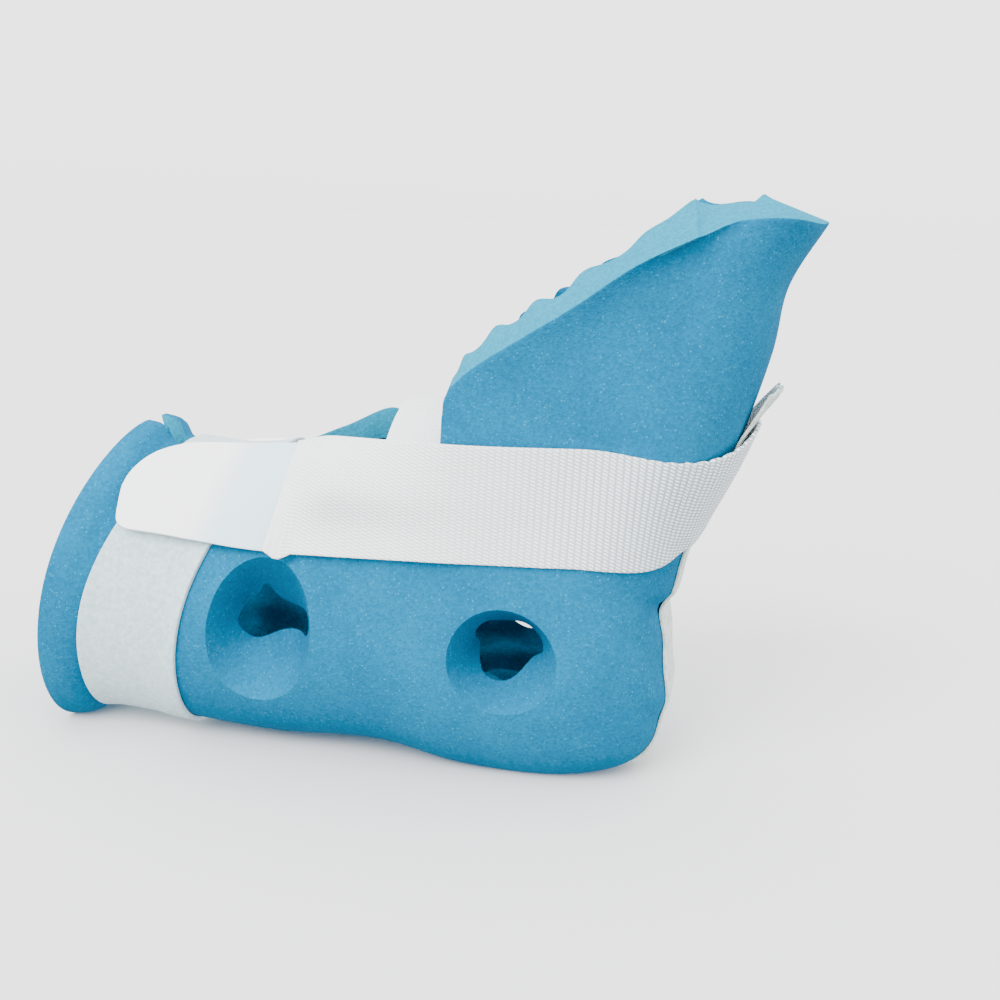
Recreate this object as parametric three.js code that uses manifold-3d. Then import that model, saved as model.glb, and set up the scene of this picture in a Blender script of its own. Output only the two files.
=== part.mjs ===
// Foam foot positioner: a convoluted foam boot with vent holes, held shut by a calf strap and
// held at its angle by a sling strap that runs from the calf strap round the sole and back.
// Millimetres, +Z up. The boot lies on its calf end and its heel, with the leg along X and the
// toes up; the origin is on the ground under the middle of its box. It is the same on both sides
// of Y = 0, apart from the lap of the calf strap.
import * as THREE from 'three';
import Module from 'manifold-3d';
import { mergeVertices } from 'three/addons/utils/BufferGeometryUtils.js';

// Driving dimensions.
const BOOT_LENGTH = 330; // calf end to toe tip
const BOOT_HEIGHT = 247; // ground to toe tip
const BOOT_WIDTH = 124; // outside to outside at the calf
const FOAM_PEAK = 30; // sheet thickness at the top of a peak
const FOAM_VALLEY = 17; // sheet thickness between the peaks
const PEAK_PITCH = 29; // peak to peak
const VENT_DIAMETER = 47;
const CALF_STRAP_WIDTH = 46;
const CALF_STRAP_LAP = 28; // how far the calf strap's end lies over its start, on the shin
const LOOP_TAPE = 2.2; // brushed loop tape of the calf strap
const SLING_WIDTH = 50;
const WEBBING = 1.6; // woven webbing of the sling
const HOOK_TAPE = 1.8; // hook tabs at the sling's ends
const TAB_SEAM = 12; // how far each tab runs in under the webbing that is sewn to it
const INSTEP_WIDTH = 28;
const INSTEP_TAPE = 1.6;
const STRIP_WIDTH = 44; // tape glued up the back of the heel and the sole
const STRIP_TAPE = 1.2;
const LAY_GAP = 0.8; // between a strap and what it lies on
const SLING_STANDOFF = 1.5; // further room between the sling and the tape on the sole
const STRIP_END_LIFT = 7; // how far the strip's free upper end stands off the sole

const halfWidth = BOOT_WIDTH / 2;

// The boot's cross-sections, from the calf end round the heel to the toe tip. Each one stands on the
// sole line and reaches to the edge of the side panel; what would be below ground is pressed flat.
// soleX, edgeX: share of BOOT_LENGTH. soleZ, edgeZ: share of BOOT_HEIGHT.
// half (widest), edge (at the panel's edge), flat (level underside) and cup (how far the sides lead
// towards the calf): share of half BOOT_WIDTH. belly (where it is widest): share of the section's height.
// wrap: 0 with the panels open, 1 with them closed over the shin. lean (how far the panel's cut edge
// stands up inwards): share of FOAM_PEAK.
const SECTION_COLUMNS = ['soleX', 'soleZ', 'edgeX', 'edgeZ', 'half', 'edge', 'flat', 'belly', 'wrap', 'cup', 'lean'];
const SECTION_ROWS = [
  [-0.467, -0.003, -0.400, 0.560, 1.00, 0.12, 0.42, 0.46, 1.0, 0.24, 0.0],
  [-0.440, 0.004, -0.376, 0.552, 0.99, 0.11, 0.40, 0.46, 1.0, 0.18, 0.0],
  [-0.420, 0.030, -0.352, 0.518, 0.94, 0.10, 0.36, 0.46, 1.0, 0.13, 0.0],
  [-0.345, 0.028, -0.255, 0.508, 0.94, 0.10, 0.36, 0.46, 1.0, 0.06, 0.0],
  [-0.315, 0.023, -0.215, 0.516, 0.98, 0.14, 0.38, 0.46, 1.0, 0.03, 0.0],
  [-0.180, 0.012, -0.145, 0.556, 1.00, 0.42, 0.38, 0.46, 0.9, 0.00, 0.0],
  [-0.080, 0.019, -0.080, 0.587, 1.00, 0.74, 0.38, 0.47, 0.7, 0.00, 0.0],
  [-0.010, 0.018, -0.055, 0.478, 0.99, 0.92, 0.38, 0.50, 0.4, 0.00, 0.0],
  [0.090, -0.003, 0.034, 0.470, 0.98, 0.93, 0.42, 0.50, 0.2, 0.00, 0.0],
  [0.220, -0.003, 0.047, 0.550, 0.97, 0.94, 0.42, 0.50, 0.1, 0.00, 0.0],
  [0.315, 0.030, 0.049, 0.610, 0.95, 0.95, 0.30, 0.48, 0.0, 0.00, 0.0],
  [0.352, 0.125, 0.050, 0.650, 0.94, 0.96, 0.24, 0.44, 0.0, 0.00, 0.0],
  [0.345, 0.245, 0.054, 0.685, 0.92, 0.97, 0.16, 0.38, 0.0, 0.00, 0.1],
  [0.362, 0.430, 0.080, 0.728, 0.91, 0.98, 0.12, 0.34, 0.0, 0.00, 0.3],
  [0.408, 0.585, 0.132, 0.779, 0.90, 1.01, 0.10, 0.34, 0.0, 0.00, 0.4],
  [0.452, 0.770, 0.205, 0.846, 0.89, 1.04, 0.10, 0.42, 0.0, 0.00, 0.4],
  [0.466, 0.890, 0.275, 0.917, 0.89, 1.05, 0.10, 0.52, 0.0, 0.00, 0.4],
  [0.500, 1.000, 0.345, 0.968, 0.88, 1.05, 0.10, 0.66, 0.0, 0.00, 0.18],
];
const SECTIONS = SECTION_ROWS.map((row) => Object.fromEntries(row.map((n, i) => [SECTION_COLUMNS[i], n])));

// Dents in the outside, across the sole line: at is the height of the dent's middle as a share of
// BOOT_HEIGHT, deep and tall are shares of FOAM_PEAK.
const HEEL_DENTS = [
  { at: 0.295, deep: 0.30, tall: 0.24 },
  { at: 0.110, deep: 0.09, tall: 0.20 },
];

const STEPS_PER_PEAK = 3; // steps of the foam's skins from one peak of the lining to the next
const PEAK_OFFSET = 1; // steps from the sheet's edge to its first peak
const END_FULLNESS = 0.95; // thickness along the two cut ends: 0 as in a valley, 1 as on a peak
const MIN_INSIDE_CORNER = 6; // least height of the lining's curve from its sole to its side
const TOE_LEAN = 0.14; // how far the toe's cut edge stands up inwards beside the sole, share of FOAM_PEAK
const TOE_SIDE_LEAN = 0.23; // how much further it does in the side panels
const TOE_LEAN_FROM = 0.95; // where along the boot that starts
const SOLE_SPAN = 0.07; // how much of the sole line, each way, sets the way through the sheet
const GUIDE_SHARE = 0.4; // the line that the steps along the boot are spaced on, up each section
const SECTION_POINTS = 24; // points on each of the two curves of a half section

const column = (read) => new THREE.CatmullRomCurve3(SECTIONS.map(read), false, 'catmullrom', 0.5);
const soleLine = column((s) => new THREE.Vector3(s.soleX * BOOT_LENGTH, 0, s.soleZ * BOOT_HEIGHT));
const edgeLine = column((s) => new THREE.Vector3(s.edgeX * BOOT_LENGTH, 0, s.edgeZ * BOOT_HEIGHT));
const widths = column((s) => new THREE.Vector3(s.half, s.edge, s.flat).multiplyScalar(halfWidth));
const shapes = column((s) => new THREE.Vector3(s.belly, s.wrap, s.cup * halfWidth));
const cutLeans = column((s) => new THREE.Vector3(s.lean * FOAM_PEAK, 0, 0));
const guide = new THREE.CatmullRomCurve3(
  SECTIONS.map((s) => new THREE.Vector3(
    THREE.MathUtils.lerp(s.soleX, s.edgeX, GUIDE_SHARE) * BOOT_LENGTH,
    0,
    THREE.MathUtils.lerp(s.soleZ, s.edgeZ, GUIDE_SHARE) * BOOT_HEIGHT,
  )),
  false, 'catmullrom', 0.5,
);
guide.arcLengthDivisions = 600;
const guideLength = guide.getLength();

/**
 * Half a cross-section's outside, and the line that the tops of the lining's peaks lie on, as points
 * (y, height up the section) in step with each other; with the distance along the outside to each.
 */
function halfSection(t) {
  const { x: half, y: edge, z: flat } = widths.getPoint(t);
  const { x: belly, y: wrap } = shapes.getPoint(t);
  const height = edgeLine.getPoint(t).distanceTo(soleLine.getPoint(t));
  const curve = (inset) => {
    const base = inset;
    const wide = half - inset;
    const level = (flat * wide) / half;
    const waist = Math.max(belly * height, base + MIN_INSIDE_CORNER);
    const top = height - inset * wrap;
    const end = THREE.MathUtils.lerp(edge - inset, edge, wrap);
    const points = [new THREE.Vector2(0, base)];
    for (let i = 0; i <= SECTION_POINTS; i++) {
      const a = (Math.PI / 2) * (i / SECTION_POINTS);
      points.push(new THREE.Vector2(level + (wide - level) * Math.sin(a), waist - (waist - base) * Math.cos(a)));
    }
    for (let i = 1; i <= SECTION_POINTS; i++) {
      const a = (Math.PI / 2) * (i / SECTION_POINTS);
      const closed = end + (wide - end) * Math.cos(a);
      const open = wide + (end - wide) * Math.sin(a) ** 2;
      points.push(new THREE.Vector2(THREE.MathUtils.lerp(open, closed, wrap), waist + (top - waist) * Math.sin(a)));
    }
    return points;
  };
  const outer = curve(0);
  const reach = [0];
  outer.slice(1).forEach((p, i) => reach.push(reach[i] + p.distanceTo(outer[i])));
  return { outer, inner: curve(FOAM_PEAK), reach, total: reach[reach.length - 1], wrap };
}

/** The outside point at a distance along a half section, and the lining's peak line opposite it. */
function alongSection({ outer, inner, reach, total }, distance) {
  const wanted = Math.min(Math.max(distance, 0), total);
  let i = 1;
  while (i < reach.length - 1 && reach[i] < wanted) i++;
  const share = (wanted - reach[i - 1]) / Math.max(reach[i] - reach[i - 1], 1e-9);
  return [outer, inner].map((points) => points[i - 1].clone().lerp(points[i], share));
}

/** How deep the dents are at a height of the sole line, fading out round the sides. */
function dentDepth(z, aside) {
  const fade = Math.exp(-((aside / (0.6 * halfWidth)) ** 2));
  return HEEL_DENTS.reduce((sum, d) => {
    const off = (z - d.at * BOOT_HEIGHT) / (d.tall * FOAM_PEAK);
    return sum + d.deep * FOAM_PEAK * Math.exp(-(off ** 2)) * fade;
  }, 0);
}

/**
 * A point on the boot's outside, and the way from it through the sheet to a peak of the lining.
 * u runs from 0, the calf end, to 1, the toe tip; v from -1, the near edge, to 1, the far edge.
 */
function sheet(u, v) {
  const t = guide.getUtoTmapping(THREE.MathUtils.clamp(u, 0, 1));
  const section = halfSection(t);
  const [outer, inner] = alongSection(section, Math.abs(v) * section.total);
  const sole = soleLine.getPoint(t);
  const up = edgeLine.getPoint(t).sub(sole).normalize();
  const { x: half } = widths.getPoint(t);
  const { z: cup } = shapes.getPoint(t);
  const skin = sole.clone().addScaledVector(up, outer.y + dentDepth(sole.z, outer.x));
  skin.x -= cup * (outer.x / half) ** 2;
  skin.y = Math.sign(v) * outer.x;
  skin.z = Math.max(skin.z, 0);
  const ahead = soleLine.getPoint(Math.min(t + SOLE_SPAN, 1));
  const along = ahead.sub(soleLine.getPoint(Math.max(t - SOLE_SPAN, 0))).normalize();
  const edgeWay = edgeLine.getTangent(t);
  const through = new THREE.Vector3(-along.z, 0, along.x).multiplyScalar(inner.y - outer.y);
  const toeLean = TOE_LEAN * THREE.MathUtils.smoothstep(Math.abs(v), 0.1, 0.5)
    + TOE_SIDE_LEAN * THREE.MathUtils.smoothstep(Math.abs(v), 0.5, 0.8);
  through.addScaledVector(along, THREE.MathUtils.smoothstep(u, TOE_LEAN_FROM, 1) * toeLean * FOAM_PEAK);
  const cutLean = cutLeans.getPoint(t).x * Math.abs(v) ** 8;
  through.addScaledVector(new THREE.Vector3(-edgeWay.z, 0, edgeWay.x), cutLean);
  through.y = Math.sign(v) * (inner.x - outer.x);
  return { skin, through };
}

const outside = (u, v) => sheet(u, v).skin;

/** The outward direction at (u, v), from the skin's slope both ways. */
function outward(u, v) {
  const step = 0.004;
  const along = outside(Math.min(u + step, 1), v).sub(outside(Math.max(u - step, 0), v));
  const across = outside(u, Math.min(v + step, 1)).sub(outside(u, Math.max(v - step, -1)));
  return across.cross(along).normalize();
}

/**
 * Sheet thickness at a step along and across the sheet: rounded peaks on a square pattern, which ends
 * in an even thickness at both cut ends.
 */
function thickness(i, j) {
  const wave = (step) => Math.cos((2 * Math.PI * step) / STEPS_PER_PEAK);
  const share = (wave(i - PEAK_OFFSET) + wave(j - PEAK_OFFSET) + 2) / 4;
  const inside = THREE.MathUtils.smoothstep(Math.min(i, stepsAlong - i), 0, STEPS_PER_PEAK);
  const full = THREE.MathUtils.lerp(END_FULLNESS, THREE.MathUtils.smoothstep(share, 0, 1), inside);
  return THREE.MathUtils.lerp(FOAM_VALLEY, FOAM_PEAK, full);
}

/** Triangles over a grid of points, as an open sheet. */
function gridGeometry(rows) {
  const columns = rows[0].length;
  const index = [];
  for (let i = 0; i + 1 < rows.length; i++) {
    for (let j = 0; j + 1 < columns; j++) {
      const a = i * columns + j;
      index.push(a, a + 1, a + columns + 1, a, a + columns + 1, a + columns);
    }
  }
  const geometry = new THREE.BufferGeometry().setFromPoints(rows.flat());
  geometry.setIndex(index);
  return geometry;
}

/** A closed geometry between two grids of the same size: rows run along, top is on the side of along x across. */
function slab(bottom, top) {
  const rows = bottom.length;
  const columns = bottom[0].length;
  const low = (i, j) => i * columns + j;
  const high = (i, j) => rows * columns + low(i, j);
  const index = [];
  const quad = (a, b, c, d) => index.push(a, b, c, a, c, d);
  for (let i = 0; i + 1 < rows; i++) {
    for (let j = 0; j + 1 < columns; j++) {
      quad(low(i, j), low(i, j + 1), low(i + 1, j + 1), low(i + 1, j));
      quad(high(i, j), high(i + 1, j), high(i + 1, j + 1), high(i, j + 1));
    }
    quad(low(i, 0), low(i + 1, 0), high(i + 1, 0), high(i, 0));
    quad(low(i + 1, columns - 1), low(i, columns - 1), high(i, columns - 1), high(i + 1, columns - 1));
  }
  for (let j = 0; j + 1 < columns; j++) {
    quad(low(0, j + 1), low(0, j), high(0, j), high(0, j + 1));
    quad(low(rows - 1, j), low(rows - 1, j + 1), high(rows - 1, j + 1), high(rows - 1, j));
  }
  const geometry = new THREE.BufferGeometry().setFromPoints([...bottom.flat(), ...top.flat()]);
  geometry.setIndex(index);
  return geometry;
}

const wasm = await Module();
wasm.setup();

/** A closed geometry as a solid that can be joined and cut. */
function toSolid(geometry) {
  const bare = geometry.clone();
  bare.deleteAttribute('normal');
  bare.deleteAttribute('uv');
  const merged = mergeVertices(bare, 1e-4);
  return new wasm.Manifold(new wasm.Mesh({
    numProp: 3,
    vertProperties: new Float32Array(merged.attributes.position.array),
    triVerts: new Uint32Array(merged.index.array),
  }));
}

function toGeometry(solid) {
  const mesh = solid.getMesh();
  const geometry = new THREE.BufferGeometry();
  geometry.setAttribute('position', new THREE.Float32BufferAttribute(mesh.vertProperties, 3));
  geometry.setIndex(Array.from(mesh.triVerts));
  return geometry;
}

// Foam: outer skin and convoluted inner skin, then the vent holes.
const peaksAlong = Math.round(guideLength / PEAK_PITCH);
const peaksAcross = 2 * Math.round(halfSection(0.5).total / PEAK_PITCH) - 1;
const stepsAlong = peaksAlong * STEPS_PER_PEAK;
const stepsAcross = peaksAcross * STEPS_PER_PEAK;
const skin = [];
const lining = [];
for (let i = 0; i <= stepsAlong; i++) {
  const u = i / stepsAlong;
  skin.push([]);
  lining.push([]);
  for (let j = 0; j <= stepsAcross; j++) {
    const v = (2 * j) / stepsAcross - 1;
    const { skin: point, through } = sheet(u, v);
    skin[i].push(point);
    lining[i].push(point.clone().addScaledVector(through, thickness(i, j) / FOAM_PEAK));
  }
}

// Vent holes, each narrowing inwards from the skin to its throat in the lining. u and v: where on the
// skin, as in outside(). round: how much longer than VENT_DIAMETER the hole is round the leg.
// throatAlong, throatRound: how much of its width is left at the tops of the peaks, both ways.
const VENTS = [
  { u: 0.205, v: 0.510, round: 1.70, throatAlong: 0.56, throatRound: 0.15 },
  { u: 0.474, v: 0.550, round: 1.05, throatAlong: 0.52, throatRound: 0.36 },
];
const VENT_SIDES = 28;
const PUNCH_LEVELS = [0.5, 0, -1.1]; // share of FOAM_PEAK, 0 at the skin and -1 at the tops of the peaks

/** A punch for one vent, standing across the sheet. */
function ventPunch({ u, v, round, throatAlong, throatRound }, side) {
  const axis = outward(u, side * v);
  const girth = outside(u, side * (v + 0.02)).sub(outside(u, side * (v - 0.02))).normalize();
  const punch = new THREE.CylinderGeometry(1, 1, 1, VENT_SIDES, PUNCH_LEVELS.length - 1);
  const { position } = punch.attributes;
  for (let i = 0; i < position.count; i++) {
    const level = PUNCH_LEVELS[Math.round((0.5 - position.getY(i)) * (PUNCH_LEVELS.length - 1))];
    const narrow = (throat) => 1 + (1 - throat) * Math.min(level, 0);
    const along = position.getX(i) * narrow(throatAlong) * (VENT_DIAMETER / 2);
    const roundLeg = position.getZ(i) * narrow(throatRound) * round * (VENT_DIAMETER / 2);
    position.setXYZ(i, along, level * FOAM_PEAK, roundLeg);
  }
  const basis = new THREE.Matrix4().makeBasis(new THREE.Vector3().crossVectors(axis, girth), axis, girth);
  return punch.applyMatrix4(basis.setPosition(outside(u, side * v)));
}

const punches = VENTS.flatMap((vent) => [-1, 1].map((side) => toSolid(ventPunch(vent, side))));
const foam = toGeometry(punches.reduce((body, punch) => body.subtract(punch), toSolid(slab(skin, lining))));

// The skin without its vents, closed across the front by a flat sheet, for the straps to be laid on.
const doubleSided = new THREE.MeshBasicMaterial({ side: THREE.DoubleSide });
const layForm = new THREE.Mesh(gridGeometry(skin.map((row) => [...row, row[0]])), doubleSided);
const FAR = 2 * BOOT_LENGTH;
const PLY = HOOK_TAPE + 1.5 * LAY_GAP; // a strap and its gap: the most that a strap over it is raised
const LOOKS = 4; // looks for what lies below, to each step of a strap
const caster = new THREE.Raycaster();

/** How far out from a point what lies there reaches in a direction. */
function reachOut(from, out, onto) {
  caster.set(from.clone().addScaledVector(out, FAR), out.clone().negate());
  const [hit] = caster.intersectObjects(onto);
  return hit ? FAR - hit.distance : -FAR;
}

/**
 * A strap laid on the boot, from rows across it. Each row looks along out at points from low to high
 * along rise from at, and lies on the foam that it finds there. Where that is further in than the
 * row's deepest, the strap spans the air from its last point. A row with an arch keeps at least that
 * distance from at. The strap also passes over the other straps named in onto; taut is how many
 * times it is drawn straight between its neighbours.
 */
function strap(rows, thick, { onto = [], columns = 4, taut = 0 } = {}) {
  const blend = THREE.MathUtils.lerp;
  const between = (a, b, share) => ({
    at: a.at.clone().lerp(b.at, share),
    out: a.out.clone().lerp(b.out, share).normalize(),
    rise: a.rise.clone().lerp(b.rise, share).normalize(),
    low: blend(a.low, b.low, share),
    high: blend(a.high, b.high, share),
    arch: a.arch && b.arch && blend(a.arch, b.arch, share),
    deepest: b.deepest,
  });
  const start = ({ at, rise, low, high }, share) => at.clone().addScaledVector(rise, blend(low, high, share));
  const lower = onto.map((geometry) => new THREE.Mesh(geometry, doubleSided));
  const shares = Array.from({ length: LOOKS - 1 }, (_, i) => (i + 1) / LOOKS);
  const fineRows = rows.flatMap((row, i) => (i ? [...shares.map((f) => between(rows[i - 1], row, f)), row] : [row]));
  const onFoam = [];
  const onStraps = [];
  fineRows.forEach((row, i) => {
    onFoam.push([]);
    onStraps.push([]);
    for (let k = 0; k <= LOOKS * columns; k++) {
      const from = start(row, k / (LOOKS * columns));
      const found = Math.max(reachOut(from, row.out, [layForm]), row.arch ?? -FAR);
      const over = reachOut(from, row.out, lower);
      onFoam[i].push(Math.max(found < row.deepest ? onFoam[i][k - 1] : found, over - PLY));
      onStraps[i].push(Math.max(over - onFoam[i][k], 0));
    }
  });
  // Each corner is raised until the strap also clears the foam between it and its neighbours.
  const foamDepth = (i, k) => {
    const own = onFoam[LOOKS * i][LOOKS * k];
    let extra = 0;
    for (const di of [-1, 0, 1]) {
      for (const dk of [-1, 0, 1]) {
        const next = onFoam[LOOKS * (i + di)]?.[LOOKS * (k + dk)];
        for (let f = 1; next !== undefined && f < LOOKS; f++) {
          const near = onFoam[LOOKS * i + f * di][LOOKS * k + f * dk];
          extra = Math.max(extra, near - blend(own, next, f / LOOKS));
        }
      }
    }
    return own + extra;
  };
  // Over another strap it is raised well past that strap's edges, and comes down in a slope.
  const highest = (i, k) => {
    const near = onStraps.slice(Math.max(LOOKS * (i - 2), 0), LOOKS * (i + 2) + 1);
    return Math.max(...near.flatMap((row) => row.slice(Math.max(LOOKS * (k - 2), 0), LOOKS * (k + 2) + 1)));
  };
  const overStraps = (i, k) => {
    const near = [-1, 0, 1].flatMap((di) => [-1, 0, 1].map((dk) => (
      highest(THREE.MathUtils.clamp(i + di, 0, rows.length - 1), THREE.MathUtils.clamp(k + dk, 0, columns)))));
    return near.reduce((sum, n) => sum + n, 0) / near.length;
  };
  const under = rows.map((row, i) => Array.from({ length: columns + 1 }, (_, k) => (
    foamDepth(i, k) + overStraps(i, k) + LAY_GAP + (row.lift ?? 0))));
  const corner = (i, k, above) => (
    start(rows[i], k / columns).addScaledVector(rows[i].out, under[i][k] + above));
  // A taut strap spans the dips along its way.
  for (let pass = 0; pass < taut; pass++) {
    for (let i = 1; i + 1 < rows.length; i++) {
      for (let k = 0; k <= columns; k++) {
        const middle = corner(i - 1, k, 0).add(corner(i + 1, k, 0)).multiplyScalar(0.5);
        under[i][k] = Math.max(under[i][k], middle.sub(start(rows[i], k / columns)).dot(rows[i].out));
      }
    }
  }
  const grid = (above) => rows.map((row, i) => under[i].map((depth, k) => corner(i, k, above)));
  return slab(grid(0), grid(thick));
}

const X_AXIS = new THREE.Vector3(1, 0, 0);
const Y_AXIS = new THREE.Vector3(0, 1, 0);
const radians = THREE.MathUtils.degToRad;
const smooth = THREE.MathUtils.smoothstep;

/** Evenly spaced values from first to last, no further apart than step. */
function spread(first, last, step) {
  const count = Math.ceil(Math.abs(last - first) / step);
  return Array.from({ length: count + 1 }, (_, i) => THREE.MathUtils.lerp(first, last, i / count));
}

// Calf strap: a band round the calf end that leans with it, lapped over the shin.
const CALF_CENTRE = { x: -0.309, z: 0.260 }; // share of BOOT_LENGTH, of BOOT_HEIGHT
const CALF_LEAN = 0.22; // how far the strap runs forward for its rise
const CALF_CUP = 0.24; // how far its sides lead towards the calf, share of half BOOT_WIDTH
const CALF_STEP = 7; // degrees between rows
const LAP_START = 92; // degrees, 90 being the top of the shin and 0 the near side
const lapAngle = THREE.MathUtils.radToDeg(CALF_STRAP_LAP / halfWidth);

function calfRow(degrees) {
  const a = radians(degrees);
  const turned = LAP_START - degrees;
  const at = new THREE.Vector3(CALF_CENTRE.x * BOOT_LENGTH, 0, CALF_CENTRE.z * BOOT_HEIGHT);
  at.x -= CALF_CUP * halfWidth * Math.cos(a) ** 2;
  return {
    at,
    out: new THREE.Vector3(CALF_LEAN * Math.sin(a), -Math.cos(a), Math.sin(a)).normalize(),
    rise: X_AXIS,
    low: -CALF_STRAP_WIDTH / 2,
    high: CALF_STRAP_WIDTH / 2,
    lift: smooth(turned, 360 - 2.5 * CALF_STEP, 360 - 0.5 * CALF_STEP) * (LOOP_TAPE + LAY_GAP),
  };
}

const calfStrap = strap(spread(LAP_START, LAP_START - 360 - lapAngle, CALF_STEP).map(calfRow), LOOP_TAPE);

/** A row of a strap on edge: heading 0 faces the near side, 90 the toes, 180 the far side; lean tips it back. */
function uprightRow(x, aside, z, heading, lean, rest) {
  const h = radians(heading);
  const l = radians(lean);
  return {
    at: new THREE.Vector3(x + aside * Math.sin(h), -aside * Math.cos(h), z),
    out: new THREE.Vector3(Math.sin(h) * Math.cos(l), -Math.cos(h) * Math.cos(l), Math.sin(l)),
    rise: new THREE.Vector3(-Math.sin(h) * Math.sin(l), Math.cos(h) * Math.sin(l), Math.cos(l)),
    low: -SLING_WIDTH / 2,
    high: SLING_WIDTH / 2,
    deepest: -BRIDGE_DEPTH * halfWidth,
    ...rest,
  };
}

// Sling strap, with its hook tabs. Along each side: x, aside and z of its middle as shares of
// BOOT_LENGTH, half BOOT_WIDTH and BOOT_HEIGHT, and its lean in degrees. farDrop and farEase: how much
// lower (share of BOOT_HEIGHT) and how much less leaned it runs on the far side. At the last of these
// it turns round the sole.
const SLING_SIDE = [
  { x: -0.418, aside: 0.76, z: 0.446, lean: 44, farDrop: 0.070, farEase: 12 },
  { x: -0.315, aside: 0.76, z: 0.462, lean: 40, farDrop: 0.070, farEase: 12 },
  { x: -0.148, aside: 0.86, z: 0.483, lean: 28, farDrop: 0.058, farEase: 8 },
  { x: 0.000, aside: 0.92, z: 0.498, lean: 10, farDrop: 0.026, farEase: 3 },
  { x: 0.136, aside: 0.94, z: 0.508, lean: 0, farDrop: 0.005, farEase: 0 },
  { x: 0.230, aside: 0.94, z: 0.514, lean: -3, farDrop: 0, farEase: 0 },
];
const SLING_SOLE = { z: 0.538, lean: -23 };
const SLING_STEP = 9; // millimetres between rows along the sides
const SLING_TURN_STEP = 9; // degrees between rows round the sole
const BRIDGE_DEPTH = 0.25; // share of half BOOT_WIDTH that the sling dips in at most
const SEAM_X = -0.150; // share of BOOT_LENGTH, where the webbing starts over its tab
const slingTurnX = SLING_SIDE[SLING_SIDE.length - 1].x * BOOT_LENGTH;
const slingCurve = (read) => new THREE.CatmullRomCurve3(SLING_SIDE.map(read), false, 'catmullrom', 0.5);
const slingLine = slingCurve(({ x, aside, z }) => (
  new THREE.Vector3(x * BOOT_LENGTH, aside * halfWidth, z * BOOT_HEIGHT)));
const slingLean = slingCurve(({ lean }) => new THREE.Vector3(lean, 0, 0));
const slingFar = slingCurve(({ farDrop, farEase }) => new THREE.Vector3(farDrop * BOOT_HEIGHT, farEase, 0));

/** The sling's row at x along one side: heading 0 near, 180 far. */
function slingRow(x, heading, rest) {
  let low = 0;
  let high = 1;
  for (let i = 0; i < 30; i++) {
    const middle = (low + high) / 2;
    if (slingLine.getPoint(middle).x < x) low = middle;
    else high = middle;
  }
  const { y: aside, z } = slingLine.getPoint(low);
  const far = slingFar.getPoint(low).multiplyScalar(heading / 180);
  return uprightRow(x, aside, z - far.x, heading, slingLean.getPoint(low).x - far.y, rest);
}

/** The sling's row round the sole. */
function soleRow(heading) {
  const { y: aside, z } = slingLine.getPoint(1);
  const round = Math.sin(radians(heading)) ** 2;
  const lift = SLING_STANDOFF * smooth(round, 0.1, 0.6);
  const soleZ = THREE.MathUtils.lerp(z, SLING_SOLE.z * BOOT_HEIGHT, round);
  const lean = THREE.MathUtils.lerp(slingLean.getPoint(1).x, SLING_SOLE.lean, round);
  return uprightRow(slingTurnX, aside, soleZ, heading, lean, { lift });
}

// The tabs' rounded ends: x back from the tab's tip, and how far the tab reaches below and above its
// middle there, all as shares of SLING_WIDTH.
const TAB_END = [
  { back: 0.00, low: -0.34, high: 0.06 },
  { back: 0.03, low: -0.44, high: 0.18 },
  { back: 0.12, low: -0.50, high: 0.31 },
  { back: 0.26, low: -0.50, high: 0.41 },
  { back: 0.48, low: -0.50, high: 0.48 },
  { back: 0.70, low: -0.50, high: 0.50 },
];
const TAB_TIP = -0.386; // share of BOOT_LENGTH

/** A tab: heading 0 near, 180 far. Its tip lies on the calf strap, its other end under the webbing. */
function hookTab(heading) {
  const tip = TAB_TIP * BOOT_LENGTH;
  const end = SEAM_X * BOOT_LENGTH + TAB_SEAM;
  const rounded = TAB_END.map(({ back, low, high }) => (
    slingRow(tip + back * SLING_WIDTH, heading, { low: low * SLING_WIDTH, high: high * SLING_WIDTH })));
  const straight = spread(tip + TAB_END[TAB_END.length - 1].back * SLING_WIDTH, end, SLING_STEP).slice(1);
  const rows = [...rounded, ...straight.map((x) => slingRow(x, heading))];
  return strap(heading ? rows.reverse() : rows, HOOK_TAPE, { onto: [calfStrap], taut: 20 });
}

const tabs = { near: hookTab(0), far: hookTab(180) };

// Instep strap: an arch over the ankle's notch, its ends lying on the side panels under the sling.
const INSTEP_BASE = 0.458; // share of BOOT_HEIGHT, just below the bottom of the notch
const INSTEP_TOP = 0.647; // share of BOOT_HEIGHT
const INSTEP_HALF = 0.935; // share of half BOOT_WIDTH, where the arch springs from
const INSTEP_END = 12; // degrees that each end runs on below the notch
const INSTEP_STEP = 7; // degrees between rows
const instepX = -0.0010 * BOOT_LENGTH; // its middle

function instepRow(degrees) {
  const a = radians(degrees);
  const halfSpan = INSTEP_HALF * halfWidth;
  const riseUp = (INSTEP_TOP - INSTEP_BASE) * BOOT_HEIGHT - LAY_GAP - INSTEP_TAPE;
  const arch = 1 / Math.hypot(Math.cos(a) / halfSpan, Math.sin(a) / riseUp);
  return {
    at: new THREE.Vector3(instepX, 0, INSTEP_BASE * BOOT_HEIGHT),
    out: new THREE.Vector3(0, Math.cos(a), Math.sin(a)),
    rise: X_AXIS,
    low: -INSTEP_WIDTH / 2,
    high: INSTEP_WIDTH / 2,
    arch: Math.sin(a) > -0.001 ? arch : undefined,
  };
}

const instepStrap = strap(spread(-INSTEP_END, 180 + INSTEP_END, INSTEP_STEP).map(instepRow), INSTEP_TAPE);

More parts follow.
